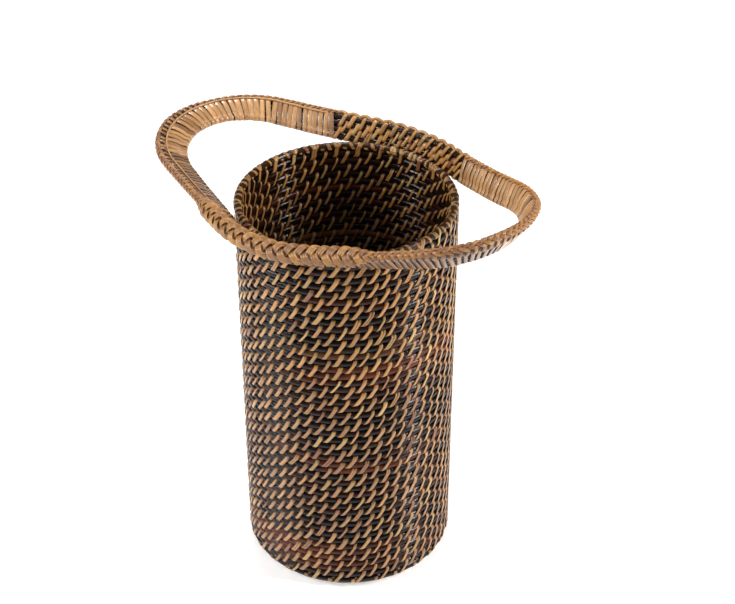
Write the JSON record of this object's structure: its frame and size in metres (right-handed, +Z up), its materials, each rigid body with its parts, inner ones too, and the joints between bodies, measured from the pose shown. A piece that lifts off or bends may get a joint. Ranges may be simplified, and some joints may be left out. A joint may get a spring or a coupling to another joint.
{
  "type": "umbrella stand",
  "caption": "Tall round umbrella stand of coiled dark rattan bound with light peel stitches, with an oval flared band round the rim that forms a loop handle at each side.",
  "frame": {"origin": "centre of the base on the floor, on the axis of the round basket", "axes": "+Z up, X through the two loop handles, -Y towards the front"},
  "size_m": [0.4826, 0.2974, 0.5338],
  "materials": {
    "dark_rod": "gloss",
    "peel_stitch": "satin",
    "honey_wrap": "satin",
    "braided_edge": "satin"
  },
  "bodies": {
    "root": {"base_centre": "dark_rod", "base_coils_1": "dark_rod", "base_coils_2": "dark_rod", "base_coils_3": "dark_rod", "base_coils_4": "dark_rod", "base_coils_5": "dark_rod", "base_edge_stitches": "peel_stitch", "base_stitches": "peel_stitch", "wall_coils_01": "dark_rod", "wall_coils_02": "dark_rod", "wall_coils_03": "dark_rod", "wall_coils_04": "dark_rod", "wall_coils_05": "dark_rod", "wall_coils_06": "dark_rod", "wall_coils_07": "dark_rod", "wall_coils_08": "dark_rod", "wall_coils_09": "dark_rod", "wall_coils_10": "dark_rod", "wall_coils_11": "dark_rod", "wall_coils_12": "dark_rod", "wall_coils_13": "dark_rod", "wall_coils_14": "dark_rod", "wall_coils_15": "dark_rod", "wall_coils_16": "dark_rod", "wall_coils_17": "dark_rod", "wall_stitches_01": "peel_stitch", "wall_stitches_02": "peel_stitch", "wall_stitches_03": "peel_stitch", "wall_stitches_04": "peel_stitch", "wall_stitches_05": "peel_stitch", "wall_stitches_06": "peel_stitch", "wall_stitches_07": "peel_stitch", "wall_stitches_08": "peel_stitch", "wall_stitches_09": "peel_stitch", "wall_stitches_10": "peel_stitch", "wall_stitches_11": "peel_stitch", "wall_stitches_12": "peel_stitch", "wall_stitches_13": "peel_stitch", "wall_stitches_14": "peel_stitch", "wall_stitches_15": "peel_stitch", "wall_stitches_16": "peel_stitch", "wall_stitches_17": "peel_stitch", "rim_rod": "dark_rod", "rim_wrap": "peel_stitch", "rim_lashings": "peel_stitch", "handle_rod_1": "dark_rod", "handle_rod_2": "dark_rod", "handle_rod_3": "dark_rod", "handle_rod_4": "dark_rod", "handle_braid": "braided_edge", "handle_wrap_left": "honey_wrap", "handle_wrap_right": "honey_wrap", "handle_stitches_front": "peel_stitch", "handle_stitches_back": "peel_stitch"}
  },
  "joints": []
}
